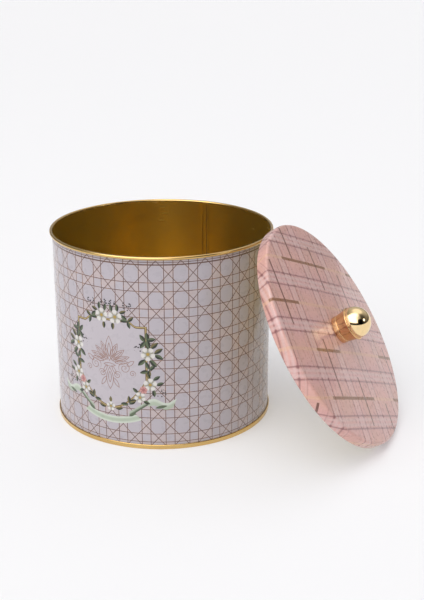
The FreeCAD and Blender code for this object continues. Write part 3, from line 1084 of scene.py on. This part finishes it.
# %% Ribbon and wreath
def paint_ribbon(picture, x, y):
    """The ribbon hangs under the plaque, turns back, and ends in a waving tail."""
    tree = picture.tree
    sag = y - x * x * 0.0088 + 42.4
    band = abs(sag).within(2.5, 0.15) * (x + sag * 0.8).within(21.0, 0.3)
    rise = y - (x - 15.0) * 0.72 + 36.0
    back = abs(rise).within(1.7, 0.15) * x.over(13.5, 14.5) * x.within(29.5, 0.5)
    wave = y + 28.0 - ((x - 27.0) * 0.36).math("SINE") * 1.6
    tail = abs(wave).within(2.5, 0.2) * x.over(27.0, 28.0) * (x - wave * 0.5).within(46.0, 0.3)
    picture.lay(paint(tree, MINT_DARK, MINT, rise.over(-1.0, 1.2)), back)
    picture.lay(paint(tree, MINT, MINT_LIGHT, abs(sag).over(0.4, 2.2)), band)
    picture.lay(paint(tree, MINT, MINT_LIGHT, wave.over(-0.6, 1.6)), tail)
    picture.leaf((36.5, -30.0), 12, 9, 2.4, MINT_DARK, MINT_DARK)
    picture.leaf((16.4, -36.6), 35, 6.5, 2.2, MINT_DARK, MINT_DARK)


def paint_leaves(picture):
    for index, ((across, height), radius, length, directions) in enumerate(TWIGS + SPRAYS):
        for order, degrees in enumerate(directions):
            far = radius * 0.75 + length / 2
            turn = math.radians(degrees)
            place = (across + far * math.cos(turn), height + far * math.sin(turn))
            light = OLIVE if (index + order) % 3 == 2 else LEAF_LIGHT
            picture.leaf(place, degrees + 14 * (-1) ** order, length, length * 0.45,
                         LEAF_DARK, light)
    picture.leaf((0, -27.5), 90, 5.0, 2.4, OLIVE, LEAF_LIGHT)
    picture.leaf((6.6, -33.4), 12, 6.0, 2.2, LEAF_DARK, OLIVE)


def paint_berries(picture):
    """Dots of a cell pattern, kept only inside the sprigs."""
    tree = picture.tree
    dots = tree.nodes.new("ShaderNodeTexVoronoi")
    dots.inputs["Scale"].default_value = 0.55
    tree.links.new(picture.point, dots.inputs["Vector"])
    dot = Field(tree, dots.outputs["Distance"]).within(0.34, 0.05)
    for centre in SPRIGS:
        across, height = picture.local(centre, 0, (3.4, 3.4))
        picture.lay(BERRY, dot * (across * across + height * height).within(1.0, 0.2))


def paint_flowers(picture):
    for index, (centre, radius, _, _) in enumerate(SPRAYS):
        picture.flower(centre, radius, 5, 20 + 33 * index, PETAL_EDGE, PETAL, HEART)
    picture.flower((0.0, -32.6), 3.4, 5, 90, PETAL_EDGE, PETAL, HEART)
    picture.flower((24.4, -17.6), 2.9, 6, 10, ROSE_EDGE, ROSE, ROSE_EDGE)


# %% Paint the picture
def picture_print():
    material, tree, shader = printed("printed_picture")
    sheet = print_point(tree)
    around, up = separate(tree, sheet)
    middle = ((PICTURE_ANGLE - LOCK_ANGLE) % math.tau) * WALL_R / MM
    x = abs(around - middle)
    y = up - PICTURE_Z / MM
    picture = Picture(tree, combine(tree, x, y), cane(tree, sheet))
    paint_plaque(picture, x, y)
    paint_ornament(picture)
    paint_ribbon(picture, x, y)
    paint_leaves(picture)
    paint_berries(picture)
    paint_flowers(picture)
    finish_print(tree, shader, sheet, picture.tone)
    return material


picture_material = picture_print()

# %% [markdown]
# ## Which face gets which finish
# A face is outside or inside by its normal, and belongs to the wall, the rim or the
# picture by its place. The picture's many nodes are only on the faces that show it.

# %% A dresser for pieces
def dress(piece, finishes, choose):
    """Give a piece its materials, and each face the one that a rule names."""
    names = list(finishes)
    piece.data.materials.clear()
    for name in names:
        piece.data.materials.append(finishes[name])
    counts = dict.fromkeys(names, 0)
    for face in piece.data.polygons:
        name = choose(face)
        face.material_index = names.index(name)
        counts[name] += 1
    print(piece.name, counts)


# %% Which face is which
PICTURE_HALF_ANGLE = math.radians(38)


def in_fold(middle):
    """Whether a face lies in the gaps of the folded side seam, which get painted shade."""
    aside = along_wall(middle)
    return middle.dot(lock_out) > 0 and any(
        edge < aside < edge + GROOVE_WIDTH for edge in (CREASE_AT, LOCK_WIDTH / 2))


def wall_finish(face):
    middle = face.center
    outside = face.normal.dot(radial(middle)) > 0.2
    # Faces in the seam's gaps get the bare edge with painted gap shade.
    if LOCK_FOOT < middle.z < LOCK_HEAD and in_fold(middle) and not outside:
        return "edge"
    if middle.z > RIM_Z - RIM_BEND - SHEET or not outside or middle.z < SEAM_TOP - PITCH:
        return "rim" if outside or middle.z > RIM_Z - RIM_BEND else "inside"
    aside = (math.atan2(middle.y, middle.x) - PICTURE_ANGLE + math.pi) % math.tau - math.pi
    if abs(aside) < PICTURE_HALF_ANGLE and abs(middle.z - PICTURE_Z) < PICTURE_HALF_HEIGHT:
        return "picture"
    return "print"


def lid_finish(face):
    local = lid_frame.inverted() @ face.center
    facing = lid_frame.to_3x3().inverted() @ face.normal
    out = Vector((local.x, local.y, 0))
    outward = facing.dot(out.normalized()) if out.length > MM else 0
    if facing.z > 0.5 and local.z > skirt_at:
        return "print"
    if outward > 0.15 and out.length > skirt_r - 0.4 * SHOULDER_BEND:
        return "print"
    if facing.z > 0 and outward > 0:
        return "print"
    return "inside"


# %% Give the faces their finishes
dress(wall, {"print": cane_material, "picture": picture_material, "inside": inner_gold,
             "rim": rim_gold, "edge": raw_edge_and_gap_shade}, wall_finish)
dress(lid, {"print": tartan, "inside": inner_gold}, lid_finish)
dress(base, {"rim": rim_gold, "inside": inner_gold},
      lambda face: "inside" if face.normal.z > 0.5 and face.center.xy.length < chuck_r else "rim")
dress(collar, {"gold": collar_gold}, lambda face: "gold")
dress(ball, {"gold": ball_gold}, lambda face: "gold")
for node in ("knob_screw", "knob_washer"):
    frame["nodes"][node].data.materials.clear()
    frame["nodes"][node].data.materials.append(zinc)

# %% [markdown]
# ## Bodies
# The wall and the base are the tin. The lid carries the collar and the ball. The packed
# screw and washer, which belong with the lid, keep their imported places. Each new mesh
# stands in for its imported piece.

# %% Hand each piece to its body
for piece, node, body, slot in (
    (wall, "body_wall", "tin", "printed_wall"),
    (base, "bottom_plate", "tin", "gold_lacquer"),
    (lid, "lid_shell", "lid", "printed_lid"),
    (collar, "knob_collar", "lid", "polished_gold"),
    (ball, "knob_ball", "lid", "polished_gold"),
):
    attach(piece, body)
    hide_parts(node)
    print(piece.name, "rides on", body)

# %% [markdown]
# ## The studio
# The tin stands on a wide pale floor that gives off a little light, as a lit product
# table does. Gold and gloss need something to mirror, so the sky is brighter high up and
# dimmer at the sides. It holds a large soft light above and in front, smaller ones behind
# and at the right, a dimmed part to the right in front, a dark patch there, and a dark
# band low down round the camera. Near the horizon it is plain white, so that the floor's
# far edge doesn't show. One area light on the left gives the soft shadow to the right.

# %% Floor
FLOOR_SIZE = 40
FLOOR_DROP = 0.05 * MM                  # keeps the floor clear of the tin's foot
start_clean()
bpy.ops.mesh.primitive_plane_add(size=FLOOR_SIZE, location=(0, 0, -FLOOR_DROP))
floor = bpy.context.object
floor.name = "studio_floor"
floor_material, _, floor_shader = new_material(
    "studio_floor", Base_Color=(0.60, 0.60, 0.60, 1), Roughness=0.75,
    Emission_Color=(0.97, 0.96, 1.0, 1), Emission_Strength=0.30)
floor_shader.inputs["Specular IOR Level"].default_value = 0.15
floor.data.materials.append(floor_material)
print("floor", FLOOR_SIZE, "m wide")

# %% Sky
world = bpy.data.worlds.new("studio")
bpy.context.scene.world = world
world.use_nodes = True
sky = world.node_tree
direction = sky.nodes.new("ShaderNodeTexCoord").outputs["Generated"]


def glow(direction_to, inner, outer):
    """A round soft patch of light in the sky, by the angle from its middle."""
    node = sky.nodes.new("ShaderNodeVectorMath")
    node.operation = "DOT_PRODUCT"
    sky.links.new(direction, node.inputs[0])
    node.inputs[1].default_value = Vector(direction_to).normalized()
    cosine = Field(sky, node.outputs["Value"])
    return cosine.over(math.cos(math.radians(outer)), math.cos(math.radians(inner)))


def toward(azimuth, elevation):
    """Direction by azimuth from +X and elevation, in degrees."""
    a, e = math.radians(azimuth), math.radians(elevation)
    return (math.cos(a) * math.cos(e), math.sin(a) * math.cos(e), math.sin(e))


# %% Light and dark parts of the sky
FRONT_LIGHT = toward(-88, 50)
BACK_LIGHT = toward(80, 65)
RIGHT_LIGHT = toward(0, 24)
DIM_CORNER = toward(-18, 36)
DARK_PATCH = toward(-36, 24)
DARK_BAND = toward(-67, 2)
axes = sky.nodes.new("ShaderNodeSeparateXYZ")
sky.links.new(direction, axes.inputs[0])
height = Field(sky, axes.outputs[2])
sideways = abs(Field(sky, axes.outputs[0])).over(0.35, 0.8)
light = (height.over(0.05, 0.45) * 0.34 + 0.25) * (1 - sideways * 0.6)
light = light + glow(FRONT_LIGHT, 28, 50) * 2.1
light = light * (1 - glow(DIM_CORNER, 18, 44) * 0.7)
light = light + glow(BACK_LIGHT, 14, 30) * 0.6
light = light + glow(RIGHT_LIGHT, 4, 9) * 3.5
blob = glow(DARK_PATCH, 14, 22)
band = glow(DARK_BAND, 45, 65) * (1 - height.over(0.24, 0.34))
light = light * (1 - blob.high(band) * 0.97)
light = light.high(1 - height.over(0.03, 0.05))
sky.links.new(light.socket, sky.nodes["Background"].inputs["Strength"])
sky.nodes["Background"].inputs["Color"].default_value = (1.0, 0.995, 1.0, 1)
print("sky made of", len(sky.nodes), "nodes")

# %% Key light
KEY_PLACE = Vector((-0.75, -0.55, 1.15))
KEY_TARGET = Vector((0.04, 0, 0.07))
start_clean()
bpy.ops.object.light_add(type="AREA", location=KEY_PLACE)
key_light = bpy.context.object
key_light.name = "key_light"
key_light.data.shape = "DISK"
key_light.data.size = 0.7
key_light.data.energy = 1.4
key_light.rotation_euler = (KEY_TARGET - KEY_PLACE).to_track_quat("-Z", "Y").to_euler()
print("key light", round((KEY_TARGET - KEY_PLACE).length, 2), "m from the tin")

# %% [markdown]
# ## The camera
# The camera looks down a little, from in front and a little to the right. Colours were
# chosen for the Standard view transform, which shows them as they are.

# %% Camera
CAMERA_PLACE = (0.2891, -0.6818, 0.3400)
CAMERA_HEADING = 20.16                   # degrees to the left of +Y
CAMERA_PITCH = 19.19                     # degrees below level
bpy.ops.object.camera_add(location=CAMERA_PLACE)
camera = bpy.context.object
camera.rotation_euler = (math.radians(90 - CAMERA_PITCH), 0, math.radians(CAMERA_HEADING))
camera.data.lens = 63.2
camera.data.sensor_width = 36.0
bpy.context.scene.camera = camera
bpy.context.scene.view_settings.view_transform = "Standard"
print("camera", round(Vector(CAMERA_PLACE).length, 2), "m from the tin's foot")
